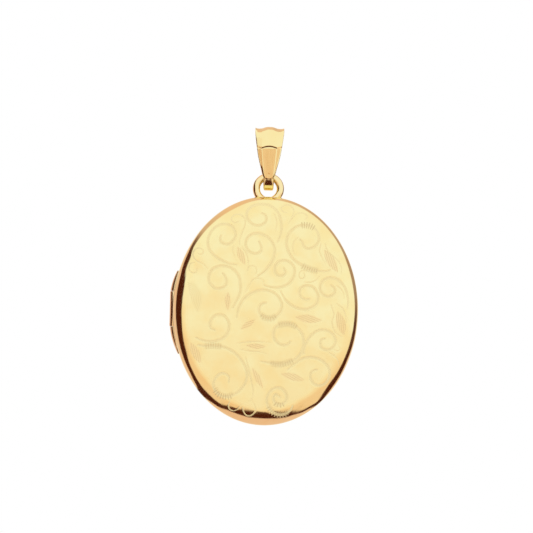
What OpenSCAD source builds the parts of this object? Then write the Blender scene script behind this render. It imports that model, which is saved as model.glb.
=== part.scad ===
// Oval hinged locket with a tapered bail, in millimetres.
// The origin is the centre of the bail's rolled top, where the chain runs along X.
// +Z is up and the engraved front faces -Y. The case hangs below the bail.

/* [Case] */
// Width of the oval case, without the hinge
case_w = 32; // [30:0.5:34]
// Height of the oval case
case_h = 39.5; // [38:0.5:42]
// Depth of each half, from the seam to the middle of its face
half_depth = 3.4; // [3.2:0.1:4]
// Radius that rolls the side wall over into the face
edge_r = 2.4; // [2.2:0.1:2.5]
// Thickness of the stamped sheet
wall = 0.45; // [0.4:0.05:0.5]
// Rise of the front's crowned face above its rolled edge
crown = 0.2; // [0.1:0.05:0.25]

/* [Inside] */
// Thickness of the bezel walls
bezel_t = 0.4; // [0.3:0.05:0.45]
// How far the back bezel's snap lip stands past the seam
lip_h = 0.5; // [0.4:0.05:0.55]
// Radial width of a photo frame
frame_w = 1.4; // [1.2:0.1:2]
// Thickness of a photo frame
frame_t = 0.3; // [0.25:0.05:0.35]
// Thickness of a clear window
window_t = 0.2; // [0.15:0.05:0.25]
// Thickness of a photo card
card_t = 0.25; // [0.2:0.05:0.3]

/* [Hinge] */
// Outer radius of the knuckles
knuckle_r = 0.9; // [0.85:0.05:0.95]
// How far the knuckles stand out past the side of the case
knuckle_proud = 0.55; // [0.5:0.05:0.6]
// How far the hinge reaches above the middle of the case
hinge_up = 6.6; // [6:0.2:7.4]
// How far the hinge reaches below the middle of the case
hinge_down = 7.8; // [7:0.2:8]
// Length of the middle knuckle
middle_l = 6.04; // [5:0.02:7]
// Radius of the hinge pin
pin_r = 0.35; // [0.3:0.01:0.36]
// Length of the hinge pin
pin_l = 9; // [8:0.2:9.4]

/* [Case ring] */
// Radius of the ring to the middle of its wire
ring_r = 2.075; // [2:0.025:2.2]
// Radius of the ring's wire
ring_wire_r = 0.635; // [0.55:0.005:0.64]
// Height of the ring's centre above the top of the case
ring_up = 1.4; // [1.3:0.02:1.8]

/* [Bail] */
// Outer radius of the bail's rolled top
bail_r = 2.1; // [2:0.05:2.4]
// Thickness of the bail's rolled top
bail_t = 0.6; // [0.5:0.05:0.65]
// Width of the bail across its top
bail_w = 5; // [4.6:0.02:5.4]
// Distance from the chain's axis down to the case ring's wire
bail_drop = 6.6; // [6.4:0.02:7]
// Width of the strap loop that holds the case ring
loop_w = 1.8; // [1.6:0.02:2.1]
// Thickness of the strap loop
loop_t = 0.5; // [0.4:0.05:0.5]

/* [Hidden] */
$fn = 96;
gold = "#e9c36b";

big = 60;                         // longer than any part, for cutting tools
half_w = case_w / 2;
half_h = case_h / 2;
seam_gap = 0.04;                  // each rim stops this far short of the seam
solder_gap = 0.01;                // between pieces that are soldered together
run_gap = 0.06;                   // between pieces that move past each other
ring_set_back = ring_wire_r + 0.105;   // the ring lies wholly behind the seam

pivot_z = -bail_drop;             // middle of the ring's wire, inside the strap loop
case_z = pivot_z - ring_r - ring_up - half_h;
seam_y = -ring_set_back;

hinge_x = -(half_w + knuckle_proud - knuckle_r);
pin_bore_r = pin_r + 0.01;        // the pin is held in the back half's knuckles
pin_run_r = pin_r + 0.03;         // and the front half's knuckle turns on it
joint_half = middle_l / 2 + run_gap / 2;
file_mid = [-1.6, 2];             // the outer knuckles are filed to two ovals, the lower and the upper
file_h = [14.45, 12.55];          // one, with these middles and half heights

bezel_in = 1;                     // from the shell's inner wall to the bezel's inner wall
bezel_set = 0.15;                 // a bezel stands in from the shell to clear its rolled edge
flange_t = 0.2;                   // flange round the mouth of a bezel
shelf_t = 0.15;                   // shelf that the photo card lies on
shelf_w = 0.6;
front_z = lip_h + 0.1;            // the front's bezel starts above the back's snap lip
back_z = 0.2;
inner_w = half_w - wall - bezel_in;   // half width inside a bezel's wall
inner_h = half_h - wall - bezel_in;
loose = 0.05;                     // between a bezel and what is laid in it
stack_t = frame_t + window_t + card_t;

lip_gap = 0.1;                    // between the snap lip and the front shell
lip_t = 0.3;
bead_r = 0.14;                    // catch bead, rolled as a fine half-round wire
bead_proud = 0.08;
bead_l = 4;
bead_z = 0.3;

panel_w = 1.3;                    // half width of the bail's middle panel
side_fall = 0.42;                 // fall of its bevelled sides
loop_in_r = ring_wire_r + 0.515;  // clears the curve of the ring through the whole swing
loop_out_r = loop_in_r + loop_t;
loop_slot = 0.75;                 // the loop's hole is longer than it is wide by this

// ---- the case's own plan: X right, Y up, Z towards the front, on the seam ----

// Carries the plan to its place below the bail.
module in_case() {
    translate([0, seam_y, case_z]) rotate([90, 0, 0]) children();
}

// Turns a front half's plan into a back half's.
module to_back() {
    mirror([0, 0, 1]) children();
}

// Solid oval of half axes a and b, from z0 to z1, in quarters so that each is an exact surface.
module oval(a, b, z0, z1) {
    for (quarter = [0:3])
        scale([a, b, 1]) rotate(90 * quarter)
            rotate_extrude(angle = 90) translate([0, z0]) square([1, z1 - z0]);
}

// Oval ring between half axes a, b and the same less w, from z0 to z1.
module oval_ring(a, b, w, z0, z1) {
    difference() {
        oval(a, b, z0, z1);
        oval(a - w, b - w, z0 - 1, z1 + 1);
    }
}

// Outline of a domed half from its axis to its rim: a straight rim, a rolled edge and a face.
function dome_outline(a, depth, roll, rise, z0) = concat(
    [[0, z0], [a, z0]],
    [for (i = [0:6]) let (t = 15 * i)
        [a - roll + roll * cos(t), depth - rise - roll + roll * sin(t)]],
    [for (i = [4:-1:0]) let (u = i / 5)
        [(a - roll) * u, depth - rise * u * u]]
);

// Solid domed half with half axes a and b, in quarters again.
module dome(a, b, depth, roll, rise, z0) {
    for (quarter = [0:3])
        scale([1, b / a, 1]) rotate(90 * quarter)
            rotate_extrude(angle = 90) polygon(dome_outline(a, depth, roll, rise, z0));
}

// Round bar along the hinge's axis from y0 to y1.
module hinge_bar(r, y0, y1) {
    translate([hinge_x, y1, 0]) rotate([90, 0, 0]) cylinder(r = r, h = y1 - y0);
}

// Room for the knuckles: tight round the ones this half carries, running round the others.
module knuckle_room(front) {
    hinge_bar(knuckle_r + (front ? solder_gap : run_gap), -joint_half, joint_half);
    for (side = [-1, 1])
        hinge_bar(
            knuckle_r + (front ? run_gap : solder_gap),
            side > 0 ? joint_half - solder_gap : -hinge_down - run_gap,
            side > 0 ? hinge_up + run_gap : -joint_half + solder_gap
        );
}

// Sheet shell of one half: domed outside, hollow inside, open at the seam.
module shell(rise) {
    difference() {
        dome(half_w, half_h, half_depth, edge_r, rise, seam_gap);
        dome(half_w - wall, half_h - wall, half_depth - wall, edge_r - wall, rise, -1);
    }
}

// Curved bead along the snap lip, opposite the hinge.
module bead() {
    intersection() {
        scale([1, half_h / half_w, 1])
            rotate_extrude()
                translate([half_w - wall - lip_gap + bead_proud - bead_r, bead_z])
                    circle(r = bead_r, $fn = 24);
        translate([half_w - 3, -bead_l / 2, -1]) cube([4, bead_l, 3]);
    }
}

// Stepped ring inside one half: a flange at its mouth, a wall, and a shelf for the photo card.
module bezel(z0) {
    z1 = z0 + stack_t;
    out = wall + bezel_set;
    oval_ring(half_w - out, half_h - out, bezel_in - bezel_set, z0 - flange_t, z0);
    oval_ring(inner_w + bezel_t, inner_h + bezel_t, bezel_t, z0 - flange_t, z1 + shelf_t);
    oval_ring(inner_w + bezel_t, inner_h + bezel_t, bezel_t + shelf_w, z1, z1 + shelf_t);
}

// What is laid in a bezel, counted from its mouth: frame, window, card.
module photo_frame(z0) {
    color(gold) in_case()
        oval_ring(inner_w - loose, inner_h - loose, frame_w, z0, z0 + frame_t);
}

module window(z0) {
    color("lightcyan", 0.4) in_case()
        oval(inner_w - loose, inner_h - loose, z0 + frame_t, z0 + frame_t + window_t);
}

module photo_card(z0) {
    color("ivory") in_case()
        oval(inner_w - loose, inner_h - loose, z0 + frame_t + window_t, z0 + stack_t);
}

// ---- front half ----

module front_shell() {
    color(gold) in_case() difference() {
        shell(crown);
        knuckle_room(true);
    }
}

module front_bezel() {
    color(gold) in_case() difference() {
        bezel(front_z + flange_t);
        knuckle_room(true);
    }
}

module front_photo_frame() {
    photo_frame(front_z + flange_t);
}

module front_window() {
    window(front_z + flange_t);
}

module front_photo_card() {
    photo_card(front_z + flange_t);
}

// ---- back half ----

module back_shell() {
    color(gold) in_case() difference() {
        to_back() shell(0);
        knuckle_room(false);
    }
}

// The back bezel's mouth runs on past the seam as the lip that the front snaps over.
module back_bezel() {
    out = wall + lip_gap;
    color(gold) in_case() difference() {
        union() {
            to_back() bezel(back_z + seam_gap);
            oval_ring(half_w - out, half_h - out, lip_t, -seam_gap - flange_t, lip_h);
        }
        hinge_bar(knuckle_r + run_gap, -hinge_down - run_gap, hinge_up + run_gap);
        bead();
    }
}

module catch_bead() {
    color(gold) in_case() bead();
}

module back_photo_frame() {
    photo_frame(-back_z - seam_gap - frame_t);
}

module back_window() {
    window(-back_z - seam_gap - 2 * frame_t - window_t);
}

module back_photo_card() {
    photo_card(-back_z - seam_gap - stack_t - frame_t - window_t);
}

// ---- hinge ----

// Outline that an outer knuckle is filed to, so that it runs in towards the case.
module filed_outline(side) {
    which = side > 0 ? 1 : 0;
    translate([0, file_mid[which], 0]) oval(half_w + knuckle_proud, file_h[which], -2, 2);
}

module outer_knuckle(side) {
    color(gold) in_case() intersection() {
        difference() {
            hinge_bar(knuckle_r,
                side > 0 ? joint_half + run_gap / 2 : -hinge_down,
                side > 0 ? hinge_up : -joint_half - run_gap / 2);
            hinge_bar(pin_bore_r, -big, big);
        }
        filed_outline(side);
    }
}

module hinge_knuckle_upper() {
    outer_knuckle(1);
}

module hinge_knuckle_lower() {
    outer_knuckle(-1);
}

module hinge_knuckle_middle() {
    color(gold) in_case() difference() {
        hinge_bar(knuckle_r, -middle_l / 2, middle_l / 2);
        hinge_bar(pin_run_r, -big, big);
    }
}

module hinge_pin() {
    color("silver") in_case() hinge_bar(pin_r, -pin_l / 2, pin_l / 2);
}

// Plug that closes an outer knuckle's bore and is filed flush with it.
module hinge_plug(side) {
    color(gold) in_case() intersection() {
        hinge_bar(pin_bore_r - solder_gap,
            side > 0 ? pin_l / 2 + solder_gap : -hinge_down,
            side > 0 ? hinge_up : -pin_l / 2 - solder_gap);
        filed_outline(side);
    }
}

module hinge_plug_upper() {
    hinge_plug(1);
}

module hinge_plug_lower() {
    hinge_plug(-1);
}

// ---- ring and bail ----

// Wire ring, cut at its foot to sit on the back half's side.
module case_ring() {
    color(gold) difference() {
        translate([0, 0, pivot_z - ring_r]) rotate([90, 0, 0])
            rotate_extrude() translate([ring_r, 0]) circle(r = ring_wire_r, $fn = 32);
        in_case() to_back()
            dome(half_w + solder_gap, half_h + solder_gap, half_depth, edge_r, 0, -big);
    }
}

// Long round hole or bar along X: radius r, stretched down by drop.
module slot_bar(r, w, drop) {
    for (down = [0, drop])
        translate([-w / 2, 0, pivot_z - down]) rotate([0, 90, 0]) cylinder(r = r, h = w);
    translate([-w / 2, -r, pivot_z - drop]) cube([w, 2 * r, drop]);
}

module bail_loop() {
    color(gold) difference() {
        slot_bar(loop_out_r, loop_w, loop_slot);
        slot_bar(loop_in_r, loop_w + 1, loop_slot);
    }
}

// Front outline of the bail, widest at its rolled top and rounded at its tip.
function bail_outline(s) = [
    [s * 0.5, bail_r + 0.1], [s * 0.5, 1.2], [s * 0.48, 0], [s * 0.45, -1], [s * 0.42, -2],
    [s * 0.39, -3], [s * 0.345, -4], [s * 0.29, -5], [s * 0.24, -6], [s * 0.195, -6.6],
    [s * 0.125, -7], [s * 0.05, -7.15], [0, -7.16]
];

// Front half of the section across the bail, as [X, depth]: bevel, middle panel, bevel.
bail_section = [
    [-bail_w / 2 - 0.1, bail_r - side_fall], [-panel_w, bail_r],
    [panel_w, bail_r], [bail_w / 2 + 0.1, bail_r - side_fall]
];

// Outer side outline: a collar below the roll, then a leaf that leans in to the tip.
bail_side = [
    [bail_r, 0], [bail_r, -1.4], [bail_r - 0.14, -1.5], [loop_out_r + 0.15, -7.2]
];

function mirrored(points) = [for (i = [len(points) - 1:-1:0]) [-points[i][0], points[i][1]]];

// Extrudes a side outline, given as [Y, Z] points, along X.
module along_x(points, w) {
    translate([-w / 2, 0, 0]) rotate([90, 0, 90]) linear_extrude(w) polygon(points);
}

// The section turned about the chain's axis for the roll, and run straight down for the leaves.
module bail_blank() {
    end = bail_w / 2 + 0.1;
    rotate([0, 90, 0]) rotate_extrude()
        polygon(concat([[0, -end]], [for (p = bail_section) [p[1], p[0]]], [[0, end]]));
    translate([0, 0, -7.2]) linear_extrude(7.2)
        polygon(concat(bail_section, [for (i = [3:-1:0]) [bail_section[i][0], -bail_section[i][1]]]));
}

module bail_band() {
    chain_r = bail_r - bail_t;
    neck_r = 1.1;
    neck_z = pivot_z + loop_out_r + 0.45 + neck_r;
    color(gold) difference() {
        intersection() {
            bail_blank();
            union() {
                rotate([0, 90, 0]) cylinder(r = bail_r, h = bail_w, center = true);
                along_x(concat(bail_side, mirrored(bail_side)), bail_w);
            }
            rotate([90, 0, 0]) linear_extrude(big, center = true)
                polygon(concat(bail_outline(bail_w), mirrored(bail_outline(bail_w))));
        }
        rotate([0, 90, 0]) cylinder(r = chain_r, h = big, center = true);
        along_x([[chain_r, 0], [-chain_r, 0], [-neck_r, neck_z], [neck_r, neck_z]], big);
        translate([0, 0, neck_z]) rotate([0, 90, 0]) cylinder(r = neck_r, h = big, center = true);
        slot_bar(loop_out_r, big, loop_slot);
    }
}

front_shell();
front_bezel();
front_photo_card();
front_window();
front_photo_frame();
back_shell();
back_bezel();
back_photo_card();
back_window();
back_photo_frame();
hinge_knuckle_middle();
hinge_knuckle_upper();
hinge_knuckle_lower();
hinge_pin();
hinge_plug_upper();
hinge_plug_lower();
catch_bead();
case_ring();
bail_band();
bail_loop();
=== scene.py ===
"""Looks of the oval locket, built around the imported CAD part. Shapes are in mm and are scaled to metres."""
import math

import bpy
import numpy as np
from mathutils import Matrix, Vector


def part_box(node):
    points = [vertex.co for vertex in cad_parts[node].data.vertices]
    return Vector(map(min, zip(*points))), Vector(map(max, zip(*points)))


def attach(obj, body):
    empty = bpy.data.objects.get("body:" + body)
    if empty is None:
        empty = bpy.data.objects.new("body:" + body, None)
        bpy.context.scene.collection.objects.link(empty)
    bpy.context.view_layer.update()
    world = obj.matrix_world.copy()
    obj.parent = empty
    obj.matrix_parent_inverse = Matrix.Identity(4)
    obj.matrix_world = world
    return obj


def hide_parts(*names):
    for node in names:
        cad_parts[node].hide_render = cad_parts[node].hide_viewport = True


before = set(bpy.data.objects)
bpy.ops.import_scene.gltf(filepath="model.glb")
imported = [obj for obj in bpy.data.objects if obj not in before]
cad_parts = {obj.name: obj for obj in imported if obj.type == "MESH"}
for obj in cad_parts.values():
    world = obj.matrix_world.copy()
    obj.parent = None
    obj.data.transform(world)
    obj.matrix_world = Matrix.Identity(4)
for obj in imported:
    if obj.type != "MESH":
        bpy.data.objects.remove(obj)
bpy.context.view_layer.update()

# ---- sizes shared with part.scad, in mm ----
MM = 0.001
HALF_W, HALF_H, HALF_DEPTH = 16.0, 19.75, 3.4
ROLL, WALL, SEAM_GAP = 2.4, 0.45, 0.04
SEAM_Y, CASE_Z = -0.74, -29.825
HINGE_X, HINGE_UP, HINGE_DOWN, JOINT_HALF = -15.65, 6.6, 7.8, 3.05
TIGHT_R, RUN_R = 0.91, 0.96              # room for the knuckles a half carries, and for the others
PIVOT_Z, RING_R, RING_WIRE = -6.6, 2.075, 0.635
KNUCKLE_R, PLUG_R, PLUG_START = 0.9, 0.36, 4.51
HINGE_OUT = 16.55                        # from the middle of the case to the hinge's outermost point

# ---- sizes of the visual model only, in mm ----
FACE_IN, RIPPLE = 0.012, 0.019           # how far the front's skin is sunk, and how uneven it is
AIR = 0.03                               # between a window and its card
TABLE_Z, TABLE_R = -90.0, 110.0
FINE = 0.00002                           # depth of the finest marks in a material, in metres


def smoothstep(lo, hi, v):
    t = np.clip((np.asarray(v, float) - lo) / (hi - lo), 0, 1)
    return t * t * (3 - 2 * t)


def add_mesh(name, points, faces, sharp=None):
    """Smooth-shaded mesh object from points in mm. Edges over the angle sharp, in degrees, stay crisp."""
    mesh = bpy.data.meshes.new(name)
    mesh.from_pydata((np.asarray(points, float) * MM).tolist(), [], faces)
    mesh.validate()
    mesh.shade_smooth()
    if sharp is not None:
        mesh.set_sharp_from_angle(angle=math.radians(sharp))
    obj = bpy.data.objects.new(name, mesh)
    bpy.context.scene.collection.objects.link(obj)
    return obj


def place(obj, body, material, slot, *nodes):
    """Gives a piece its material, its body and the CAD nodes that it stands for."""
    obj.data.materials.append(material)
    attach(obj, body)
    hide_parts(*nodes)


# ---- camera: straight on, with the slight lean that the piece hangs at ----
CAMERA_BACK, CAMERA_UP = 0.3080, 0.00768         # from the middle of the case, in metres
cam_data = bpy.data.cameras.new("camera")
cam_data.lens, cam_data.sensor_width = 120, 36
cam_data.clip_start, cam_data.clip_end = 0.01, 5
camera = bpy.data.objects.new("camera", cam_data)
camera.location = (0, -CAMERA_BACK, CASE_Z * MM + CAMERA_UP)
camera.rotation_euler = (math.radians(90), math.radians(-1.4), 0)
bpy.context.scene.collection.objects.link(camera)
bpy.context.scene.camera = camera


# ---- node helpers ----
class Nodes:
    """Adds nodes to a tree. An input is given as a number, a colour or another node's output."""

    def __init__(self, tree):
        self.tree = tree
        tree.nodes.clear()

    def add(self, kind, inputs=None, **settings):
        n = self.tree.nodes.new(kind)
        for key, value in settings.items():
            setattr(n, key, value)
        for key, value in (inputs or {}).items():
            socket = n.inputs[key]
            if isinstance(value, bpy.types.NodeSocket):
                self.tree.links.new(value, socket)
            else:
                socket.default_value = value
        return n

    def math(self, op, a, b=0.0, c=0.0, clamp=False):
        n = self.add("ShaderNodeMath", {0: a, 1: b, 2: c}, operation=op, use_clamp=clamp)
        return n.outputs[0]

    def ramp(self, value, stops, blend="LINEAR"):
        """Stops are (position, colour) pairs, each colour three numbers."""
        n = self.add("ShaderNodeValToRGB", {0: value})
        n.color_ramp.interpolation = blend
        elements = n.color_ramp.elements
        while len(elements) < len(stops):
            elements.new(0.5)
        for e, (pos, _) in zip(elements, stops):
            e.position = pos
        # moving the elements may have put them in another order, so each is set again
        for e, (pos, colour) in zip(elements, stops):
            e.position = pos
            e.color = (*colour, 1)
        return n.outputs[0]

    def step(self, value, lo, hi):
        """Smooth step from 0 at lo to 1 at hi."""
        n = self.add("ShaderNodeMapRange", {0: value, 1: lo, 2: hi}, interpolation_type="SMOOTHSTEP")
        return n.outputs[0]

    def mix(self, factor, a, b):
        n = self.add("ShaderNodeMix", data_type="RGBA")
        for index, value in ((0, factor), (6, a), (7, b)):
            if isinstance(value, bpy.types.NodeSocket):
                self.tree.links.new(value, n.inputs[index])
            else:
                n.inputs[index].default_value = value if index == 0 else (*value, 1)
        return n.outputs[2]

    def noise(self, vector, scale, detail, roughness=0.5):
        """Even noise. Its scale counts the patches in a metre."""
        n = self.add("ShaderNodeTexNoise", {"Vector": vector, "Scale": scale, "Detail": detail,
                                            "Roughness": roughness})
        return n.outputs[0]

    def streaks(self, vector, scale, detail, roughness=0.5, turn=0.0):
        """Noise with its own scale along each axis, turned about Y by an angle in radians."""
        n = self.add("ShaderNodeMapping", {"Vector": vector, "Rotation": (0, turn, 0), "Scale": scale})
        return self.noise(n.outputs[0], 1.0, detail, roughness)

    def stored(self, name, lo=None, hi=None):
        """A value kept on the mesh, as it is or through a smooth step."""
        value = self.add("ShaderNodeAttribute", attribute_name=name).outputs["Fac"]
        return value if lo is None else self.step(value, lo, hi)

    def bump(self, height, strength, distance=FINE):
        return self.add("ShaderNodeBump", {"Strength": strength, "Distance": distance,
                                           "Height": height}).outputs[0]

    def surface(self, inputs):
        """A principled surface as the material's output."""
        shade = self.add("ShaderNodeBsdfPrincipled", inputs)
        self.add("ShaderNodeOutputMaterial", {"Surface": shade.outputs[0]})


# ---- studio: a white card in front, dark gaps round it, warm walls beyond and a pale card behind ----
# Each row: direction round the view axis in degrees (0 right, 90 up), where the front card ends and
# where the dark gap ends, both in degrees from the viewer's side, and how dark the gap is.
GAPS = [
    (-180, 38, 100, 1), (-168, 46, 98, 1), (-150, 62, 98, 1), (-142, 68, 112, 1),
    (-136, 72, 165, 1), (-128, 62, 104, 1), (-114, 36, 70, 1), (-90, 17, 57, 1), (-66, 40, 76, 1),
    (-57, 84, 104, 1), (-50, 100, 150, 1), (-38, 68, 122, 1), (-24, 80, 122, 1), (-8, 92, 134, 0.95),
    (10, 98, 150, 0.6), (40, 110, 150, 0.4),
    (90, 100, 150, 0.05), (120, 80, 150, 0.0), (140, 86, 140, 0.2), (150, 88, 128, 0.9),
    (160, 66, 112, 1), (168, 44, 102, 1), (180, 38, 100, 1),
]
GAP_SOFT = 3                                     # half width of a gap's soft edge, in degrees
PALE_GAP, DARK_GAP = (0.89, 0.64, 0.56), (0.075, 0.016, 0.008)
# the front card, from low and left to high and right, and the walls, from the front to the back
FRONT_CARD = [
    (0.20, (0.94, 0.70, 0.56)), (0.28, (0.97, 0.79, 0.66)), (0.35, (0.99, 0.84, 0.73)),
    (0.41, (0.99, 0.87, 0.765)), (0.46, (1.0, 0.94, 0.90)), (0.51, (1.0, 1.01, 1.02)),
    (1.0, (1.0, 1.0, 1.0)),
]
WALLS = [(0.35, (0.87, 0.60, 0.57)), (0.76, (0.87, 0.62, 0.58)), (0.86, (1, 0.96, 0.9))]


def studio():
    """World that is plain white to the camera and to scattered light, and shows the cards, gaps and walls
    to reflections."""
    world = bpy.data.worlds.new("studio")
    world.use_nodes = True
    # scattered light meets plain white, so the world needs no sampling
    world.cycles.sampling_method = "NONE"
    bpy.context.scene.world = world
    n = Nodes(world.node_tree)
    way = n.add("ShaderNodeSeparateXYZ", {0: n.add("ShaderNodeTexCoord").outputs["Generated"]}).outputs
    off = n.math("DIVIDE", n.math("ARCCOSINE", n.math("MULTIPLY", way[1], -1)), math.pi)
    around = n.math("DIVIDE", n.math("ARCTAN2", way[2], way[0]), 2 * math.pi)
    around = n.math("ADD", around, 0.5)
    edges = n.ramp(around, [((a + 180) / 360, (lo / 180, hi / 180, k)) for a, lo, hi, k in GAPS], "EASE")
    edge = n.add("ShaderNodeSeparateColor", {0: edges}).outputs
    soft = GAP_SOFT / 180
    past_card = n.step(off, n.math("SUBTRACT", edge[0], soft), n.math("ADD", edge[0], soft))
    past_gap = n.step(off, n.math("SUBTRACT", edge[1], soft), n.math("ADD", edge[1], soft))
    lean = n.math("ADD", n.math("MULTIPLY", way[2], 0.9), n.math("MULTIPLY", way[0], 0.15))
    card = n.ramp(n.math("ADD", lean, 0.5), FRONT_CARD)
    gap = n.mix(edge[2], PALE_GAP, DARK_GAP)
    sky = n.mix(past_gap, n.mix(past_card, card, gap), n.ramp(off, WALLS))
    path = n.add("ShaderNodeLightPath").outputs
    plain = n.math("MAXIMUM", path["Is Camera Ray"], path["Is Diffuse Ray"])
    out = n.add("ShaderNodeBackground", {"Color": n.mix(plain, sky, (1, 1, 1))})
    n.add("ShaderNodeOutputWorld", {"Surface": out.outputs[0]})


studio()
bpy.context.scene.view_settings.view_transform = "Standard"
bpy.context.scene.view_settings.look = "None"


# ---- materials ----
def new_material(name):
    """A new material, its nodes and the place on the piece that its patterns are laid by."""
    m = bpy.data.materials.new(name)
    m.use_nodes = True
    n = Nodes(m.node_tree)
    return m, n, n.add("ShaderNodeTexCoord").outputs["Object"]


def gold(name, colour, rough, scratch=1.0, warm=0.5, cut=False, brushed=False):
    """Polished gold: fine crossed polishing lines, faint handling marks and slightly uneven colour."""
    m, n, where = new_material(name)
    lines = [n.streaks(where, (9000, 9000, 9000 / thin), 3.0, 0.6, turn)
             for turn, thin in ((0.35, 42), (-1.1, 31))]
    height = n.math("MULTIPLY", n.math("ADD", *lines), 0.5)
    cloud = n.noise(where, 260.0, 4.0, 0.55)
    smear = n.noise(where, 1100.0, 3.0)
    warmer = tuple(c * k for c, k in zip(colour, (1.0, 0.92, 0.82)))
    tone = n.mix(n.math("MULTIPLY", n.step(cloud, 0.35, 0.7), warm), colour, warmer)
    rough_out = n.math("ADD", n.math("MULTIPLY", n.step(smear, 0.4, 0.75), 0.05), rough)
    # the broad faces are plated satin-bright, so part of their light is scattered
    broad = n.math("MULTIPLY", n.stored("broad"), 0.45)
    metal = n.math("SUBTRACT", 1.0, broad)
    if cut:
        # cut lines are finely grained, so they scatter light instead of mirroring it
        mask = n.stored("cut", 0.3, 0.7)
        leaf = n.stored("leaf", 0.2, 0.8)
        hatch = n.stored("hatch", 0.3, 0.7)
        wave = n.math("SINE", n.math("MULTIPLY", n.stored("phase"), 2 * math.pi))
        ribs = n.math("MULTIPLY", n.step(wave, -0.2, 0.7), hatch)
        ribs = n.math("MULTIPLY", ribs, n.math("MULTIPLY_ADD", leaf, -0.3, 0.8))
        grain = n.noise(where, 9000.0, 2.0)
        # hatched leaves are painted darker and more orange: painted shade of their fine hatching
        tone = n.mix(n.math("MULTIPLY", leaf, 0.45), tone, (0.95, 0.70, 0.36))
        tone = n.mix(mask, tone, (0.91, 0.765, 0.39))
        # the hatching's ribs are painted darker still: painted shade in their grooves
        tone = n.mix(ribs, tone, (0.70, 0.55, 0.27))
        mask = n.math("MAXIMUM", n.math("MAXIMUM", mask, n.math("MULTIPLY", leaf, 0.5)), ribs)
        rough_out = n.math("ADD", rough_out, n.math("MULTIPLY", mask, 0.30))
        metal = n.math("SUBTRACT", 1.0, n.math("MAXIMUM", broad, n.math("MULTIPLY", mask, 0.6)))
        height = n.math("ADD", height, n.math("MULTIPLY", n.math("MULTIPLY", grain, mask), 2.0))
    if brushed:
        # satin leaf, brushed along its length
        mask = n.stored("satin", 0.2, 0.8)
        brush = n.streaks(where, (5500, 5500, 150), 3.0)
        satin = n.mix(n.step(brush, 0.3, 0.7), (0.90, 0.62, 0.27), (0.84, 0.55, 0.22))
        tone = n.mix(mask, tone, satin)
        rough_out = n.math("MULTIPLY_ADD", mask, 0.14, rough_out)
        height = n.math("MULTIPLY_ADD", n.math("MULTIPLY", brush, mask), 3.0, height)
    n.surface({"Base Color": tone, "Metallic": metal, "Roughness": rough_out,
               "Normal": n.bump(height, 0.06 * scratch)})
    return m


def card_paper():
    """Blank card with paper fibre."""
    m, n, where = new_material("photo_card")
    fibre = n.streaks(where, (5200, 5200, 1700), 6.0, 0.7)
    cloud = n.noise(where, 420.0, 3.0)
    tone = n.mix(n.math("MULTIPLY", fibre, 0.6), (0.90, 0.85, 0.74), (0.80, 0.73, 0.60))
    tone = n.mix(n.math("MULTIPLY", cloud, 0.25), tone, (0.74, 0.66, 0.52))
    n.surface({"Base Color": tone, "Roughness": 0.82, "Normal": n.bump(fibre, 0.35)})
    return m


def clear_window():
    """Clear plastic film with faint ripples and a few rubbed spots, clearest seen straight on."""
    m, n, where = new_material("window_plastic")
    swell = n.noise(where, 90.0, 1.0)
    rubbed = n.step(n.noise(where, 900.0, 5.0), 0.5, 0.75)
    slant = n.add("ShaderNodeLayerWeight", {"Blend": 0.25}).outputs["Fresnel"]
    alpha = n.math("ADD", n.math("MULTIPLY_ADD", slant, 0.5, 0.05), n.math("MULTIPLY", rubbed, 0.05),
                   clamp=True)
    n.surface({"Base Color": (0.96, 0.98, 0.98, 1), "Roughness": n.math("MULTIPLY_ADD", rubbed, 0.10, 0.04),
               "IOR": 1.49, "Alpha": alpha, "Normal": n.bump(swell, 0.03, 0.0002)})
    return m


def pin_wire():
    """Drawn steel wire: fine lines along its length."""
    m, n, where = new_material("pin_steel")
    line = n.streaks(where, (9000, 9000, 500), 4.0)
    tone = n.mix(line, (0.60, 0.60, 0.61), (0.72, 0.71, 0.70))
    n.surface({"Base Color": tone, "Metallic": 1.0, "Roughness": n.math("MULTIPLY_ADD", line, 0.2, 0.2),
               "Normal": n.bump(line, 0.3)})
    return m


ENGRAVED = gold("engraved_gold", (0.955, 0.845, 0.445), 0.10, warm=0.9, cut=True)
POLISHED = gold("polished_gold", (0.945, 0.795, 0.430), 0.10)
BAIL = gold("bail_gold", (0.955, 0.830, 0.430), 0.10, brushed=True)
HINGE = gold("hinge_gold", (0.93, 0.74, 0.42), 0.20, scratch=1.5)
INNER = gold("inner_gold", (0.93, 0.77, 0.42), 0.24, scratch=1.8)
CARD, WINDOW, PIN = card_paper(), clear_window(), pin_wire()

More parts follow.
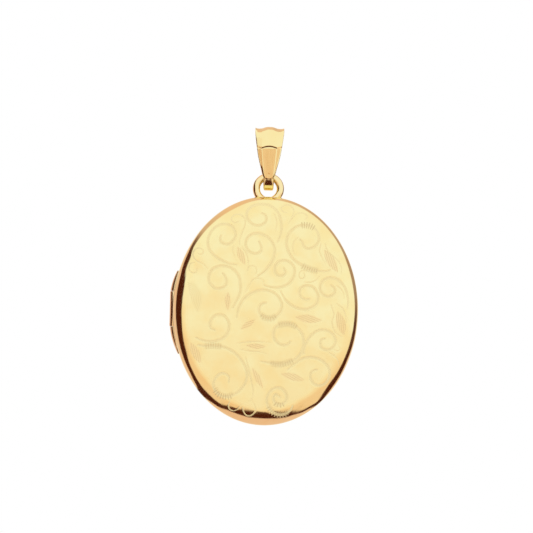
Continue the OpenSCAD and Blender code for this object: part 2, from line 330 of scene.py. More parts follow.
# ---- engraving, drawn on the front half's plan: X right, Y up from the middle of the case ----
SCROLLS = [
    [(-1.3, 16.9), (-0.7, 16.6), (-0.45, 16), (-0.6, 15.4), (-1.2, 14.9), (-2, 14.75), (-2.9, 15),
     (-3.6, 15.7), (-3.9, 16.6), (-3.6, 17.5), (-2.9, 18.1), (-2, 18.4), (-1, 18.5), (0, 18.3),
     (0.9, 17.8), (1.6, 17), (2, 16), (2.2, 15), (2.25, 14), (2, 13), (1.6, 12)],
    [(-8.2, 12.8), (-8.4, 12.2), (-8.1, 11.6), (-7.5, 11.35), (-6.8, 11.4), (-6.1, 12), (-5.7, 12.9),
     (-5.9, 13.8), (-6.5, 14.5), (-7.4, 14.8), (-8.4, 14.7), (-9.3, 14.2), (-10, 13.4), (-10.4, 12.4),
     (-10.5, 11.4), (-10.2, 10.4), (-9.6, 9.6), (-8.7, 8.9), (-7.7, 8.4), (-6.6, 8), (-5.3, 7.9)],
    [(-1.6, 12), (-1.3, 11.4), (-1.1, 10.7), (-1.4, 10.2), (-2, 9.9), (-2.8, 10), (-3.5, 10.5),
     (-3.9, 11.4), (-3.7, 12.4), (-3, 13.1), (-2, 13.4), (-1, 13.2), (0, 12.7), (0.8, 11.8),
     (1.2, 10.7), (1.1, 9.5), (0.7, 8.4), (0, 7.4), (-0.8, 6.6), (-1.6, 6)],
    [(5.5, 12.6), (5.9, 12.2), (6.2, 11.5), (6.8, 11.1), (7.6, 11.2), (8.4, 11.8), (8.8, 12.7),
     (8.7, 13.6), (8.1, 14.5), (7.2, 15), (6.2, 15.1), (5.1, 14.9), (4.2, 14.3), (3.5, 13.4),
     (3.2, 12.3), (3.3, 11.2), (3.8, 10.1), (4.5, 9.2), (5.4, 8.5), (6.5, 7.9), (7.7, 7.5), (9, 7.3),
     (10.4, 7.3), (11, 7.6)],
    [(2.9, 7.5), (3.2, 7), (3.1, 6.6), (2.6, 6.2), (1.9, 6.3), (1.4, 6.9), (1.3, 7.5), (1.5, 8.1),
     (2.1, 8.7), (3, 8.9), (3.9, 8.6), (4.6, 7.9), (4.8, 7), (4.6, 6), (4, 5.1), (3.1, 4.5), (2, 4.2),
     (0.8, 4.2), (-0.4, 4.5)],
    [(-7.7, 6.3), (-7.2, 5.7), (-7, 5), (-7.1, 4.3), (-7.7, 3.8), (-8.6, 3.6), (-9.4, 4), (-10, 4.8),
     (-10.1, 5.7), (-9.7, 6.7), (-8.9, 7.3), (-7.8, 7.6), (-6.6, 7.4), (-5.6, 6.8), (-4.9, 5.9),
     (-4.6, 4.8), (-4.5, 3.7), (-4.7, 2.6), (-5.2, 1.5), (-5.7, 0.4)],
    [(0, 1.5), (-0.7, 1.3), (-1.1, 0.7), (-1.1, -0.1), (-0.6, -0.8), (0.2, -1.1), (1.1, -1.1),
     (2, -0.6), (2.6, 0.2), (2.8, 1.2), (2.4, 2.2), (1.7, 3), (0.7, 3.5), (-0.4, 3.7), (-1.5, 3.5),
     (-2.7, 3), (-3.7, 2.2), (-4.4, 1.2), (-4.8, 0.1), (-5, -1.2)],
    [(7.5, 2.4), (6.8, 2.3), (6.2, 2.6), (5.8, 3.2), (5.8, 3.9), (6.3, 4.5), (7.1, 4.7), (8, 4.5),
     (8.6, 3.9), (9, 3.1), (9, 2.2), (8.6, 1.4), (7.8, 0.9), (6.8, 0.6), (5.7, 0.7), (4.6, 1.1),
     (3.7, 1.8), (3, 2.7), (2.5, 3.6)],
    [(11.2, 4.9), (11.8, 4.4), (11.9, 3.8), (11.5, 3.2), (10.8, 2.9), (10.1, 3.1), (9.5, 3.7),
     (9.3, 4.5), (9.6, 5.4), (10.3, 6), (11.1, 6.2), (12.1, 6), (13, 5.4), (13.7, 4.5), (14.1, 3.4),
     (14.3, 2.2), (14.2, 1)],
    [(-8.7, -3.5), (-9.3, -3.3), (-9.6, -2.7), (-9.5, -2), (-9.1, -1.3), (-8.4, -0.9), (-7.5, -0.9),
     (-6.8, -1.4), (-6.3, -2.3), (-6.3, -3.3), (-6.7, -4.3), (-7.5, -5), (-8.6, -5.4), (-9.8, -5.5),
     (-11, -5.3), (-12, -4.9)],
    [(4.5, -5), (4.1, -5.5), (3.2, -5.7), (2.4, -5.4), (1.8, -4.8), (1.5, -4), (1.6, -3.1),
     (2.1, -2.4), (3, -2.1), (4.1, -2), (5.1, -2.3), (6, -3), (6.6, -3.9), (6.8, -5), (6.7, -6.1),
     (6.3, -7.1), (5.6, -7.9), (4.6, -8.5), (3.4, -8.9), (2.1, -9), (0.8, -8.8), (-0.5, -8.6)],
    [(10.5, -4.3), (9.9, -4.5), (9.7, -5.1), (9.9, -5.8), (10.5, -6.2), (11.2, -6.2), (11.9, -5.8),
     (12.3, -5.1), (12.3, -4.3), (11.8, -3.5), (11, -3), (10, -2.8), (9, -3.1), (8.1, -3.8),
     (7.4, -4.8), (7, -5.9), (6.9, -7)],
    [(9.3, -9.7), (8.6, -9.9), (8.2, -10.5), (8.2, -11.2), (8.7, -12), (9.5, -12.4), (10.4, -12.3),
     (11.1, -11.7), (11.5, -10.8), (11.5, -9.9), (11.2, -9.1), (10.4, -8.3), (9.4, -7.8),
     (8.2, -7.6), (7, -7.8), (5.9, -8.4), (5, -9.1), (4.2, -9.8)],
    [(-11.5, -6.2), (-10.3, -6.3), (-9, -6.2), (-7.5, -6.3), (-6.2, -6.7), (-5, -7.4), (-4, -8.4),
     (-3.2, -9.6), (-2.8, -11), (-3.1, -12.4), (-3.9, -13.6), (-5, -14.5), (-6.3, -14.9),
     (-7.6, -14.6), (-8.4, -13.7), (-8.6, -12.6), (-8.1, -11.5), (-7.3, -10.9), (-6.5, -11),
     (-5.9, -11.6), (-6, -12.4)],
    [(3, -14.6), (2.3, -14.2), (1.9, -14.8), (2.2, -15.6), (3.1, -15.9), (4, -15.4), (4.2, -14.4),
     (3.6, -13.4), (2.6, -13), (1.5, -13.5), (0.9, -14.5), (0.8, -15.7), (1.4, -16.9), (2.5, -17.6),
     (3.8, -17.6), (4.9, -16.9), (5.3, -16)],
]
TENDRILS = [
    [(0.9, 16.9), (1.3, 15.9), (1.4, 15), (1.2, 14)],
    [(5.2, 13), (4.5, 12.2), (4.3, 11), (4.7, 9.9)],
    [(12.2, 4.9), (13, 4.3), (13.5, 3.5), (13.6, 2.7)],
    [(-5.3, 15.3), (-5.9, 15.1), (-6.5, 15.5), (-6.4, 16.1), (-5.8, 16.5), (-5, 16.5), (-4.4, 16.1),
     (-4.1, 15.4), (-4.2, 14.5), (-4.5, 13.7), (-4.8, 12.8), (-5, 12), (-4.9, 11.3)],
    [(3.1, 17.1), (2.4, 17.3), (2.1, 17.9), (2.6, 18.4), (3.4, 18.5), (4, 18.1), (4.3, 17.4),
     (4, 16.5), (3.7, 15.6)],
    [(6.2, 16.1), (6.7, 16.4), (6.4, 17), (5.6, 17.2), (4.8, 17), (4.2, 16.4), (3.8, 15.8), (3.3, 15.2)],
    [(-12.1, 9.6), (-11.6, 9.4), (-11.2, 9.8), (-11.4, 10.3), (-12.1, 10.5), (-12.7, 10.2),
     (-13, 9.5), (-12.9, 8.9), (-12.3, 8.3), (-11.6, 8), (-10.9, 7.6), (-10.3, 6.9)],
    [(-12.2, 7), (-12.3, 6.4), (-12.9, 6.2), (-13.5, 6.6), (-13.6, 7.3), (-13.2, 7.9), (-12.6, 8)],
    [(6.4, 6.9), (6.6, 6.3), (6.2, 5.9), (5.7, 6.1), (5.6, 6.7), (6, 7.2), (6.9, 7.2)],
    [(6.6, 5.3), (7.6, 5.3), (8.5, 5.7), (9.3, 6.6)],
    [(12.2, -6.1), (12.7, -6.4), (13.2, -6), (12.9, -5.5)],
    [(11.2, -6.6), (12.2, -7.2), (12.9, -8), (13.1, -8.9)],
    [(-3.5, 6.9), (-3, 7.7), (-2.2, 7.7), (-1.8, 7), (-2, 6.3)],
    [(-2.8, 4.9), (-2.3, 5.5), (-1.4, 5.7), (-0.6, 5.3), (-0.5, 4.7)],
    [(-3.6, 3.3), (-3.2, 4.2), (-2.7, 4.9)],
    [(-6, 11.2), (-6.1, 10.2), (-5.7, 9.3)],
    [(-4.5, 11), (-3.6, 9.6), (-3.3, 8.3), (-3.4, 7.2)],
    [(9.2, 12), (9, 10.8), (9.5, 9.6), (10.2, 8.6)],
    [(9.9, 12.1), (10.5, 10.7), (12, 9.5), (12.9, 8.2), (12.9, 6.9)],
    [(11.3, 1.6), (11.9, 0), (11.6, -1.5), (12.3, -3.2), (13.4, -3.9)],
    [(12.3, 1.8), (13.4, 1), (14, -0.4), (14.2, -1.6)],
    [(-4.6, -5.6), (-2, -5.2), (1, -5.3)],
    [(-4.1, -6.6), (-2.6, -6.9), (-1, -6.9), (0.6, -7.3)],
    [(-3.2, -8), (-2.6, -9.8), (-2.2, -11.5), (-1.8, -13), (-1.7, -14.5), (-2.2, -15.6)],
    [(-5.6, -15.6), (-5.9, -16.3), (-5.7, -17), (-5.1, -17.3), (-4.4, -17.1), (-4, -16.6), (-3.6, -16.1)],
    [(-3.4, -16.6), (-3.2, -17.4), (-2.7, -18), (-2.1, -18.1), (-1.5, -17.7), (-1.1, -17),
     (-1.3, -16.2), (-1.8, -15.3)],
]
# hatched leaves: two ends, greatest width, lean of the hatching in degrees from the leaf's length
LEAVES = [
    ((-5.3, 11), (-3.9, 7.9), 1.2, 12), ((-6.7, 3.1), (-6.6, 0), 1.0, 8),
    ((-4.2, -3.2), (-1.8, -1.5), 1.0, 15), ((9.8, 11), (12.3, 7.2), 1.5, 14),
    ((12.5, 0.5), (13.8, -3.6), 1.6, 10), ((5.2, -0.8), (9.8, -1.2), 1.4, 14),
    ((-3.2, -6), (0.2, -6.1), 0.9, 12), ((-12.9, -5.8), (-11, -9.3), 1.4, 14),
    ((-2, -9.8), (0, -13.2), 1.0, 12), ((3, -10.6), (7.2, -11.6), 1.2, 14),
]
# ribbed stretches of the scrolls: which scroll, and the middle and reach of the stretch
RIBBED = [
    (3, (6.8, 15.1), 1.3), (3, (7.4, 7.6), 1.6), (6, (0.5, -1.1), 1.4), (10, (3.9, -2.1), 1.7),
    (10, (3.2, -8.9), 2.0), (13, (-7, -14.8), 1.8), (14, (2.6, -17.5), 2.0), (13, (-9, -6.2), 1.5),
]
# outer edge of the ribbed leaf at the left, and its inner edge; the ribs run along the outer edge
BIG_LEAF = [(-13.5, 4.8), (-12.3, 4.3), (-11.4, 3.2), (-11.05, 1.8), (-11.3, 0.3), (-11.8, -0.9)]
BIG_LEAF_INNER = [(-13.9, 4.4), (-13.3, 2), (-12.6, 0.4), (-11.8, -0.9)]
# the drawing leans a little on the case, and is laid out slightly larger than it is cut
DRAWING_TURN, DRAWING_SCALE, DRAWING_SHIFT = math.radians(0.66), (1.017, 1.006), (0.035, -0.025)
HATCH, RIB, LEAF_RIB = 0.34, 0.42, 0.3   # spacing of the hatching, of the scrolls' ribs and of the leaf's
SCROLL_HALF, TENDRIL_HALF = 0.25, 0.12   # half widths of the cuts
SCROLL_DEEP, TENDRIL_DEEP, HATCH_DEEP = 0.024, 0.014, 0.012


def curve(points, step=0.12):
    """Smooth line through the points, as positions about one step apart and the length along it."""
    p = np.array(points, float)
    p = np.vstack([2 * p[0] - p[1], p, 2 * p[-1] - p[-2]])
    out = []
    for a, b, c, d in zip(p[:-3], p[1:-2], p[2:-1], p[3:]):
        count = max(2, int(np.linalg.norm(c - b) / step))
        t = (np.arange(count) / count)[:, None]
        out.append(0.5 * (2 * b + (c - a) * t + (2 * a - 5 * b + 4 * c - d) * t ** 2
                          + (3 * b - a - 3 * c + d) * t ** 3))
    line = np.vstack(out + [p[-2:-1]])
    along = np.concatenate([[0], np.cumsum(np.linalg.norm(np.diff(line, axis=0), axis=1))])
    return line, along


def nearest(plan, line, along, reach):
    """For the plan points within reach of a line: their indices, distance to it, and length along it."""
    lo, hi = line.min(0) - reach, line.max(0) + reach
    near = np.nonzero(((plan >= lo) & (plan <= hi)).all(1))[0]
    if not len(near):
        return near, np.zeros(0), np.zeros(0)
    best, where = np.full(len(near), 1e9), np.zeros(len(near))
    q = plan[near]
    for a, b, s in zip(line[:-1], line[1:], along[:-1]):
        v = b - a
        length = max(np.linalg.norm(v), 1e-9)
        t = np.clip(((q - a) @ v) / length ** 2, 0, 1)
        d = np.linalg.norm(q - a - t[:, None] * v, axis=1)
        closer = d < best
        best[closer], where[closer] = d[closer], (s + t * length)[closer]
    keep = best < reach
    return near[keep], best[keep], where[keep]


def engrave(plan):
    """Depth of the engraving at each plan point, and its cut, leaf, hatch and phase values."""
    cos_t, sin_t = math.cos(DRAWING_TURN), math.sin(DRAWING_TURN)
    plan = (plan - DRAWING_SHIFT) @ np.array([[cos_t, -sin_t], [sin_t, cos_t]]).T * DRAWING_SCALE
    deep, cut, leaf, hatch, phase = (np.zeros(len(plan)) for _ in range(5))
    soft = 0.14                          # how far each edge value spreads, about one mesh step

    def hatched(ids, inside, periods, in_leaf=True, strength=1.0):
        """Hatches points by how far inside an area they are, and by the count of lines up to them."""
        value = np.clip(0.5 + inside / (2 * soft), 0, 1) * strength
        better = value >= hatch[ids]
        phase[ids[better]] = periods[better]
        hatch[ids] = np.maximum(hatch[ids], value)
        if in_leaf:
            leaf[ids] = np.maximum(leaf[ids], value)
        wave = 0.5 + 0.5 * np.sin(2 * np.pi * periods)
        deep[ids] = np.maximum(deep[ids], HATCH_DEEP * wave * value)

    for group, half, depth in ((SCROLLS, SCROLL_HALF, SCROLL_DEEP), (TENDRILS, TENDRIL_HALF, TENDRIL_DEEP)):
        for index, points in enumerate(group):
            ribbed = [row for row in RIBBED if group is SCROLLS and row[0] == index]
            line, along = curve(points)
            ids, d, s = nearest(plan, line, along, 1.0)
            # each stroke swells after its start and thins towards its tail
            grow = 0.75 + 0.25 * smoothstep(0, 1.5, s)
            thin = 1 - 0.45 * smoothstep(along[-1] - 3, along[-1], s)
            w = half * grow * thin
            cut[ids] = np.maximum(cut[ids], np.clip(0.5 + (w - d) / (2 * soft), 0, 1))
            deep[ids] = np.maximum(deep[ids], depth * np.clip(1 - (d / (w * 1.3)) ** 2, 0, 1) ** 1.5)
            for _, centre, reach in ribbed:
                away = np.linalg.norm(plan[ids] - centre, axis=1)
                hatched(ids, np.minimum(0.55 - d, reach - away), s / RIB, False)
    for (x0, y0), (x1, y1), width, lean in LEAVES:
        a, v = np.array((x0, y0)), np.array((x1 - x0, y1 - y0))
        length = np.linalg.norm(v)
        v /= length
        q = plan - a
        s, c = q @ v, q @ np.array((-v[1], v[0]))
        ids = np.nonzero((s > -0.4) & (s < length + 0.4) & (abs(c) < width * 1.3))[0]
        s, c = s[ids], c[ids]
        half = width / 2 * np.sin(np.pi * np.clip(s / length, 0, 1)) ** 0.8
        turn = math.radians(lean)
        hatched(ids, half - abs(c), (c * math.cos(turn) + s * math.sin(turn)) / HATCH)
        # a thin line goes round the leaf, up to its ends
        rim = width * 0.95 * np.sin(np.pi * np.clip((s + 0.25) / (length + 0.5), 0, 1)) ** 0.8
        away = abs(rim - abs(c)) + 9 * (abs(s - length / 2) > length / 2 + 0.15)
        cut[ids] = np.maximum(cut[ids], 0.8 * np.clip(0.5 + (0.06 - away) / (2 * soft), 0, 1))
    # the ribbed leaf, between its two edges and its two ends
    top, bottom = 4.7, -0.9
    line, along = curve(BIG_LEAF)
    ids, d, _ = nearest(plan, line, along, 3.0)
    x, y = plan[ids].T
    outer = np.interp(y, line[::-1, 1], line[::-1, 0])
    inner = np.interp(y, *np.array(BIG_LEAF_INNER)[::-1, ::-1].T)
    inside = np.minimum(np.minimum(outer - x, x - inner), np.minimum(top - y, y - bottom))
    hatched(ids, inside, d / LEAF_RIB, False, 0.5)
    return deep, cut, leaf, hatch, phase


def ripple(plan):
    """Slight unevenness of the stamped face, in mm: waves several mm long, weakest near the top."""
    total = np.zeros(len(plan))
    rng = np.random.RandomState(11)
    for _ in range(14):
        heading, wave = rng.uniform(0, 2 * np.pi), rng.uniform(4.5, 10)
        k = 2 * np.pi / wave * np.array((math.cos(heading), math.sin(heading)))
        total += wave ** 1.2 * np.sin(plan @ k + rng.uniform(0, 2 * np.pi))
    total *= RIPPLE / total.std()
    return total * (0.35 + 0.65 * smoothstep(14, 2, plan[:, 1]))


# ---- shells ----
def disc_grid(k):
    """Points of a unit disc on a square grid of 2k steps, its faces, and its rim in order."""
    n = 2 * k + 1
    steps = np.linspace(-1, 1, n)
    u, v = (w.ravel() for w in np.meshgrid(steps, steps))
    wide = abs(u) > abs(v)
    r = np.where(wide, u, v)
    safe = np.where(r == 0, 1, r)
    turn = np.where(wide, math.pi / 4 * v / safe, math.pi / 2 - math.pi / 4 * u / safe)
    xy = np.stack([r * np.cos(turn), r * np.sin(turn)], 1)
    i = np.arange(n * n).reshape(n, n)
    quads = np.stack([i[:-1, :-1], i[:-1, 1:], i[1:, 1:], i[1:, :-1]], -1).reshape(-1, 4)
    # round the rim counter-clockwise, starting at the lower left corner
    rim = np.concatenate([i[0, :-1], i[:-1, -1], i[-1, :0:-1], i[:0:-1, 0]])
    return xy, quads, rim


def shell(rise, k, rings, engraved, hinge_room):
    """One hollow half: its points, faces and named values. The plan is X right and Y up, and depth counts
    from the seam to the face. rise is how far the face is domed, k the fineness of its grid, rings the
    number of steps round its edge, and hinge_room the stretches set back for knuckles, with their radii."""
    edge = 0.03                                        # bevel at the seam
    slope = math.atan(2 * rise / (HALF_W - ROLL))
    edge_r = HALF_W - ROLL + ROLL * math.sin(slope)
    low = rise * (edge_r / (HALF_W - ROLL)) ** 2
    side_top = HALF_DEPTH - low - ROLL * math.cos(slope)     # the rounded edge starts here
    tall = HALF_H / HALF_W
    disc, quads, rim = disc_grid(k)
    around = np.arctan2(disc[rim, 1], disc[rim, 0])
    points, faces = [], [quads]

    face = disc * edge_r
    depth = HALF_DEPTH - rise * ((face ** 2).sum(1) / (HALF_W - ROLL) ** 2)
    points.append(np.column_stack([face[:, 0], face[:, 1] * tall, depth]))
    normals = [np.tile((0.0, 0.0, 1.0), (len(face), 1))]
    count, last = len(face), rim

    def ring(r, z, out, angles=around):
        """Adds a ring of points, with normals given as (outwards, up), and returns their numbers."""
        nonlocal count
        x, y, full = np.cos(angles), np.sin(angles), np.ones(len(angles))
        points.append(np.column_stack([r * x, r * y * tall, z * full]))
        normals.append(np.column_stack([x * out[0], y * out[0], out[1] * full]))
        ids = np.arange(count, count + len(angles))
        count += len(angles)
        return ids

    def join(a, b):
        """Faces between two rings of equal length. Returns the second."""
        faces.append(np.stack([a, b, np.roll(b, -1), np.roll(a, -1)], 1))
        return b

    for t in np.linspace(math.pi / 2 - slope, 0, rings + 1)[1:]:
        last = join(last, ring(HALF_W - ROLL + ROLL * math.cos(t), side_top + ROLL * math.sin(t),
                               (math.cos(t), math.sin(t))))
    skin = count                                       # what the engraving may touch ends here
    for z in (0.5, 0.12, SEAM_GAP + edge):
        last = join(last, ring(HALF_W, z, (1, 0)))
    last = join(last, ring(HALF_W - edge, SEAM_GAP, (1, 0)))
    last = join(last, ring(HALF_W - WALL, SEAM_GAP, (1, 0)))
    last = join(last, ring(HALF_W - WALL, side_top, (1, 0)))

    # inside, with fewer points: each one meets a run of the outer points
    ki = k // 8
    disc_in, quads_in, rim_in = disc_grid(ki)
    angles_in = np.arctan2(disc_in[rim_in, 1], disc_in[rim_in, 0])
    ratio = len(around) // len(angles_in)
    coarse = ring(HALF_W - WALL - 0.05, side_top + 0.3, (1, 0), angles_in)
    half = ratio // 2
    bridge = []
    for j, here in enumerate(coarse.tolist()):
        after = int(coarse[(j + 1) % len(coarse)])
        run = [int(last[(j * ratio + m) % len(last)]) for m in range(ratio + 1)]
        bridge += [(run[m], here, run[m + 1]) for m in range(half)]
        bridge.append((run[half], here, after))
        bridge += [(run[m], after, run[m + 1]) for m in range(half, ratio)]
    last = coarse
    roll_in = ROLL - WALL
    for t in (60, 40, 20):
        last = join(last, ring(HALF_W - ROLL + roll_in * math.sin(math.radians(t)),
                               side_top + roll_in * math.cos(math.radians(t)), (1, 0), angles_in))
    inner = disc_in * (HALF_W - ROLL)
    depth_in = HALF_DEPTH - WALL - rise * (inner ** 2).sum(1) / (HALF_W - ROLL) ** 2
    base = count
    points.append(np.column_stack([inner[:, 0], inner[:, 1] * tall, depth_in]))
    normals.append(np.tile((0.0, 0.0, 1.0), (len(inner), 1)))
    count += len(inner)
    join(last, rim_in + base)
    faces.append(quads_in[:, ::-1] + base)

    p, nrm = np.vstack(points), np.vstack(normals)
    plan = p[:skin, :2].copy()
    values = None
    if engraved:
        deep, *values = engrave(plan)
        fade = smoothstep(1.0, 0.955, np.hypot(plan[:, 0] / HALF_W, plan[:, 1] / HALF_H))
        p[:skin] += nrm[:skin] * (ripple(plan) * fade - deep - FACE_IN)[:, None]

    # room for the knuckles: the rim is set back to a cylinder round the hinge's axis
    side = (p[:, 0] < -HALF_W * 0.9) & (p[:, 2] < side_top - 1e-6)
    for lo, hi, r in hinge_room:
        zone = side & (p[:, 1] > lo) & (p[:, 1] < hi) & (abs(p[:, 0] - HINGE_X) < r)
        c = np.sqrt(r ** 2 - (p[zone, 0] - HINGE_X) ** 2)
        share = (p[zone, 2] - SEAM_GAP) / (side_top - SEAM_GAP)
        p[zone, 2] = c + share * (side_top - c)
    all_faces = [f for group in faces for f in group.astype(int).tolist()] + bridge
    across = np.hypot(p[:, 0] / HALF_W, p[:, 1] / HALF_H)
    broad = smoothstep(0.87, 0.82, across) * (np.arange(len(p)) < skin)
    return p, all_faces, [("broad", broad)] + list(zip(("cut", "leaf", "hatch", "phase"), values or ()))


def store(obj, values):
    """Keeps named values of a mesh's points for its material. Points past the end of a list get zero."""
    for label, value in values:
        full = np.zeros(len(obj.data.vertices), np.float32)
        full[:len(value)] = value
        obj.data.attributes.new(label, "FLOAT", "POINT").data.foreach_set("value", full)


def to_world(p, front):
    """From the case's plan to the row frame."""
    side = -1 if front else 1
    return np.column_stack([p[:, 0], SEAM_Y + side * p[:, 2], CASE_Z + p[:, 1]])


middle_room = (-JOINT_HALF, JOINT_HALF)
low_room, high_room = (-HINGE_DOWN - 0.06, -JOINT_HALF), (JOINT_HALF, HINGE_UP + 0.06)
points, faces, values = shell(rise=0.2, k=120, rings=24, engraved=True, hinge_room=[
    (*middle_room, TIGHT_R), (*low_room, RUN_R), (*high_room, RUN_R)])
front = add_mesh("front_face", to_world(points, True), faces, sharp=50)
store(front, values)
place(front, "case_front", ENGRAVED, "engraved_gold", "front_shell")

points, faces, values = shell(rise=0.0, k=40, rings=14, engraved=False, hinge_room=[
    (*middle_room, RUN_R), (*low_room, TIGHT_R), (*high_room, TIGHT_R)])
back = add_mesh("back_face", to_world(points, False), faces, sharp=50)
store(back, values)
place(back, "case_back", POLISHED, "polished_gold", "back_shell")


# ---- ring, loop and bail ----
def loft(rings, closed):
    """Points and faces of a skin over rings of equal length. closed joins the last ring to the first;
    otherwise both ends are capped."""
    m = len(rings[0])
    points = np.vstack(rings)
    faces = []
    for j in range(len(rings) if closed else len(rings) - 1):
        a, b = j * m, ((j + 1) % len(rings)) * m
        faces += [(a + i, b + i, b + (i + 1) % m, a + (i + 1) % m) for i in range(m)]
    if not closed:
        faces += [tuple(range(m - 1, -1, -1)), tuple(range((len(rings) - 1) * m, len(rings) * m))]
    return points, faces


def case_ring():
    """Round wire ring, soldered to the top of the back half."""
    foot = 0.2                                   # how deep the ring goes into the back half's side
    rings = []
    t = np.linspace(0, 2 * np.pi, 40, endpoint=False)
    r, y = RING_R + RING_WIRE * np.cos(t), RING_WIRE * np.sin(t)
    for a in np.linspace(0, 2 * np.pi, 144, endpoint=False):
        rings.append(np.column_stack([r * np.sin(a), y, PIVOT_Z - RING_R + r * np.cos(a)]))
    p, f = loft(rings, True)
    # points further in are moved out to the foot's depth
    e = np.hypot(p[:, 0] / HALF_W, (p[:, 2] - CASE_Z) / HALF_H)
    keep = np.maximum(e, 1 - foot / HALF_H) / e
    p[:, 0] *= keep
    p[:, 2] = CASE_Z + (p[:, 2] - CASE_Z) * keep
    return add_mesh("ring_wire", p, f)


place(case_ring(), "case_back", POLISHED, "polished_gold", "case_ring")


def strap_loop():
    """Flat strap with rounded edges, bent into a long loop round the case ring's wire."""
    inner_r, thick, half, centre, longer = 1.15, 0.5, 0.9, PIVOT_Z + 0.4, 1.15
    edge, shoulder = 0.06, 0.12
    # section: flat inside, almost flat outside, as (X, height above the inner face)
    section = [(-half, edge), (-half + edge, 0), (half - edge, 0), (half, edge)]
    for u in np.linspace(1, -1, 21):
        section.append((half * u, shoulder + (thick - shoulder) * (1 - abs(u) ** 9) ** 0.6))
    rings = []
    # the lower bend is drawn out to an oval, so that the strap starts to curve early
    for a in np.linspace(0, 2 * np.pi, 80, endpoint=False):
        deep = inner_r + (longer if a > np.pi else 0)
        rings.append(np.array([(x, (inner_r + h) * math.cos(a), centre + (deep + h) * math.sin(a))
                               for x, h in section]))
    p, f = loft(rings, True)
    return add_mesh("strap_loop", p, f, sharp=60)


place(strap_loop(), "bail", BAIL, "bail_gold", "bail_loop")


def bail():
    """Folded bail: a rolled top with a scalloped edge, a panel with bevelled sides and a tapered leaf on
    the front and the back."""
    roll_r, half, tip, crease_z = 2.1, 2.5, -7.25, -1.5
    sheet, edge = 0.16, 0.05                     # thickness, and radius of the sheet's outer edge
    # half width of the sheet and of its flat panel, and the distance of the inner face, at each Z
    width_at = ([tip, -7.2, -7.08, -6.85, -6.5, -6, -5, -4, -3, -2, -1, 0, 3],
                [0.12, 0.36, 0.62, 0.86, 1.04, 1.18, 1.42, 1.69, 1.93, 2.1, 2.25, 2.4, half])
    panel = 1.3
    panel_at = ([-7, -6, -2, 0, 3], [0.62, 0.90, 1.28, panel, panel])
    inside_at = ([tip, -1.65, 0, 3], [1.36, 1.5, 1.5, 1.5])
    # radius of the scalloped top at each distance from the middle
    crown_at = ([0, 0.45, 0.8, 1.3, 1.8, 2.15, half], [2.07, 2.06, 1.98, 1.80, 1.74, 1.76, 1.88])
    border_z = np.linspace(tip, -3.5, 160)
    border = np.column_stack([np.interp(border_z, *width_at), border_z])

    def surface(x, z, angle):
        """Distance of the outer face from the middle plane, at width x: on the leaf for a z below 0, on
        the roll for an angle from the front (0) over the top (90)."""
        ax = abs(x)
        outside = max(0.0, ax - panel)
        bevel = roll_r - 0.42 * outside / panel
        if z >= 0:
            top = float(np.interp(ax, *crown_at))
            k = float(smoothstep(25, 62, min(angle, 180 - angle)))
            return bevel * (1 - k) + top * k
        # a crease, highest in the middle, parts the roll from the leaf
        crease = crease_z - 0.28 * min(ax / panel, 1) ** 2 + 0.25 * outside
        leaf = 2.04 - 0.2 * (crease_z - z) / (crease_z - tip)
        leaf -= 0.3 * max(0.0, ax - float(np.interp(z, *panel_at)))
        # the lower edge is rounded over
        to_edge = float(np.hypot(border[:, 0] - ax, border[:, 1] - z).min())
        leaf -= 0.14 * (1 - float(smoothstep(0, 0.3, to_edge))) * float(smoothstep(-4.3, -5.8, z))
        dimple = 0.06 * math.exp(-((x / 0.16) ** 2 + ((z + 6.3) / 0.16) ** 2))
        k = float(smoothstep(crease - 0.12, crease + 0.02, z))
        groove = 0.085 * math.exp(-(((z - crease + 0.03) / 0.13) ** 2))
        return bevel * k + (leaf - dimple) * (1 - k) - groove

    def row(z, angle, back):
        """One ring across the sheet. angle is only used on the roll, where z is 0."""
        if z < 0:
            w = float(np.interp(z, *width_at))
        else:
            w = half - 0.1 + 0.1 * float(smoothstep(0, 40, min(angle, 180 - angle)))
        u = np.linspace(-1, 1, 81)
        u = np.sign(u) * abs(u) ** 0.9
        inner_d = float(np.interp(z, *inside_at))
        outer, inner = [], []
        for x in u * w:
            d = surface(x, z, angle)
            outer.append((x, d))
            inner.append((x, min(d - sheet, inner_d)))
        (x0, d0), (x1, d1) = outer[0], outer[-1]
        outer = [(x0, d0 - edge), (x0 + edge * 0.7, d0), *outer[2:-2],
                 (x1 - edge * 0.7, d1), (x1, d1 - edge)]
        section = outer + inner[::-1]
        if z < 0:
            return np.array([(x, (d if back else -d), z) for x, d in section])
        a = math.radians(angle)
        return np.array([(x, -d * math.cos(a), d * math.sin(a)) for x, d in section])

    # rows lie closest at the tip and at the crease
    leaf = np.concatenate([np.linspace(tip, -6.5, 16), np.linspace(-6.4, -2.0, 38),
                           np.linspace(-1.97, -1.0, 40), np.linspace(-0.9, -0.1, 7)])
    rings = [row(z, 0, False) for z in leaf]
    rings += [row(0.0, a, False) for a in np.linspace(0, 180, 73)]
    rings += [row(z, 180, True) for z in leaf[::-1]]
    p, f = loft(rings, False)
    obj = add_mesh("bail_fold", p, f, sharp=42)
    # the leaf is satin between polished lines along its ridges and its rounded edge
    ax, z = abs(p[:, 0]), p[:, 2]
    ridge = np.interp(z, *panel_at)
    satin = smoothstep(-1.7, -1.95, z) * smoothstep(0.03, 0.1, abs(ax - ridge))
    satin *= smoothstep(0.1, 0.25, np.interp(z, *width_at) - ax) * smoothstep(-7.1, -6.85, z)
    store(obj, [("satin", satin)])
    return obj


place(bail(), "bail", BAIL, "bail_gold", "bail_band")


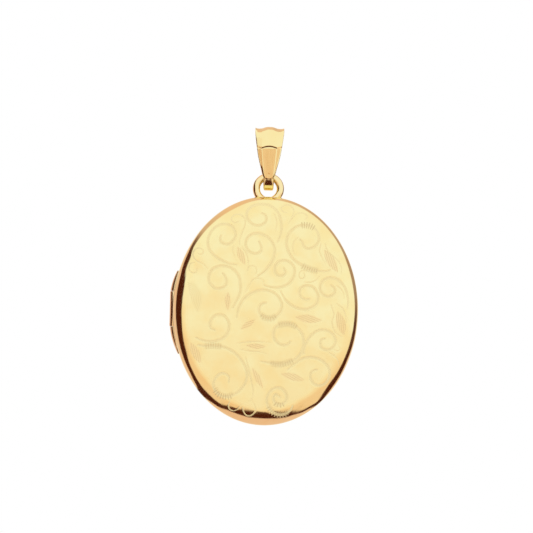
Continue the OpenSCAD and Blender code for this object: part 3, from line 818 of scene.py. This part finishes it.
# ---- outer knuckles and plugs: filed off so that the hinge's outer line follows the case ----
def filed_bar(name, z0, z1, radius, mid, reach, edge):
    """Bar along the hinge's axis between two heights, its outer side filed back to an oval outline with
    the given middle and half height. The filed side is rounded like the knuckle itself."""
    heights = [(z0, edge), (z0 + 0.3 * edge, 0.3 * edge), (z0 + edge, 0)]
    heights += [(z, 0) for z in np.linspace(z0 + 3 * edge, z1 - 3 * edge, 24)]
    heights += [(z1 - edge, 0), (z1 - 0.3 * edge, 0.3 * edge), (z1, edge)]
    turn = np.linspace(0, 2 * np.pi, 72, endpoint=False)
    x, y = np.cos(turn), np.sin(turn)
    rings = []
    for z, inset in heights:
        shift = HINGE_OUT * (1 - math.sqrt(1 - ((z - mid) / reach) ** 2))
        # a plug's filed side lies a little inside its knuckle's
        filed_r = KNUCKLE_R if radius == KNUCKLE_R else KNUCKLE_R - 0.01
        middle = (max(-radius, shift - filed_r) + radius) / 2
        if radius - middle < 2 * inset + 0.02:
            continue                             # filed away altogether
        off = shift - middle
        full = -middle * x + np.sqrt((middle * x) ** 2 - middle ** 2 + radius ** 2)
        filed = off * x + np.sqrt((off * x) ** 2 - off ** 2 + filed_r ** 2)
        r = np.minimum(full, filed) - inset
        # the corner between the two sides is eased
        r -= 0.02 * np.exp(-((full - filed) / 0.03) ** 2)
        rings.append(np.column_stack([HINGE_X + middle + r * x, SEAM_Y + r * y, np.full(72, CASE_Z + z)]))
    p, f = loft(rings, False)
    return add_mesh(name, p, f, sharp=50)


# which way it lies along Z, its far end, and the middle and half height of the oval it is filed to
FILED = {"upper": (1, HINGE_UP, 2, 12.55), "lower": (-1, HINGE_DOWN, -1.6, 14.45)}
for label, (way, far, mid, reach) in FILED.items():
    near, end, peg = (JOINT_HALF + 0.03) * way, (far - 0.01) * way, PLUG_START * way
    bar = filed_bar(label + "_knuckle", min(near, end), max(near, end), KNUCKLE_R, mid, reach, 0.06)
    place(bar, "case_back", HINGE, "hinge_gold", "hinge_knuckle_" + label)
    end += 0.01 * way
    bar = filed_bar(label + "_plug", min(peg, end), max(peg, end), PLUG_R, mid, reach, 0.03)
    place(bar, "case_back", HINGE, "hinge_gold", "hinge_plug_" + label)


# ---- windows: lifted a hair off the cards that the CAD ones lie on ----
def film(half, near_side):
    """Clear oval sheet with a rounded edge. near_side is the way, along Y, from the card to the window."""
    edge = 0.03
    lo, hi = (np.array(corner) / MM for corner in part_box(half + "_window"))
    card, face = (lo[1], hi[1]) if near_side > 0 else (hi[1], lo[1])
    card += AIR * near_side
    mid, size = (lo + hi) / 2, (hi - lo) / 2
    insets = [size[0] * (1 - k) for k in (0.02, 0.25, 0.5, 0.75, 0.95)]
    rows = [(inset, card) for inset in insets]
    rows += [(edge, card), (0, card + edge * near_side), (0, face - edge * near_side), (edge, face)]
    rows += [(inset, face) for inset in insets[::-1]]
    turn = np.linspace(0, 2 * np.pi, 96, endpoint=False)
    rings = [np.column_stack([mid[0] + (size[0] - inset) * np.cos(turn), np.full(96, y),
                              mid[2] + (size[2] - inset) * np.sin(turn)]) for inset, y in rows]
    p, f = loft(rings[::near_side], False)
    return add_mesh(half + "_film", p, f, sharp=40)


for half, near_side in (("front", 1), ("back", -1)):
    place(film(half, near_side), "case_" + half, WINDOW, "window_plastic", half + "_window")

# ---- CAD pieces that stay, with softened edges ----
KEPT = {
    "front_bezel": INNER, "back_bezel": INNER, "catch_bead": INNER,
    "front_photo_frame": POLISHED, "back_photo_frame": POLISHED,
    "front_photo_card": CARD, "back_photo_card": CARD,
    "hinge_knuckle_middle": HINGE,
    "hinge_pin": PIN,
}
# radius of the bevel, for every node with this in its name
ROUNDED = {"hinge_knuckle": 0.07, "photo_frame": 0.06, "photo_card": 0.03, "bezel": 0.03}
for node, material in KEPT.items():
    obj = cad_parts[node]
    obj.data.materials.clear()
    obj.data.materials.append(material)
    for part, radius in ROUNDED.items():
        if part in node:
            weld = obj.modifiers.new("weld", "WELD")
            weld.merge_threshold = 1e-6
            bevel = obj.modifiers.new("bevel", "BEVEL")
            bevel.width, bevel.segments = radius * MM, 3
            bevel.limit_method, bevel.angle_limit = "ANGLE", math.radians(40)
            bevel.harden_normals = True


# ---- floor ----
def floor():
    """Pale round table top, well below the hanging piece."""
    thick = 3
    a = np.linspace(0, 2 * np.pi, 96, endpoint=False)
    rows = [(0.5, 0), (60, 0), (TABLE_R - 1, 0), (TABLE_R, -0.4), (TABLE_R, -thick), (0.5, -thick)]
    rings = [np.column_stack([r * np.cos(a), r * np.sin(a), np.full(96, TABLE_Z + z)]) for r, z in rows]
    p, f = loft(rings, True)
    obj = add_mesh("table_top", p, f, sharp=30)
    m, n, where = new_material("table")
    tone = n.mix(n.noise(where, 30.0, 3.0), (0.88, 0.87, 0.86), (0.92, 0.915, 0.91))
    n.surface({"Base Color": tone, "Roughness": 0.7})
    obj.data.materials.append(m)
    obj.visible_glossy = False


floor()
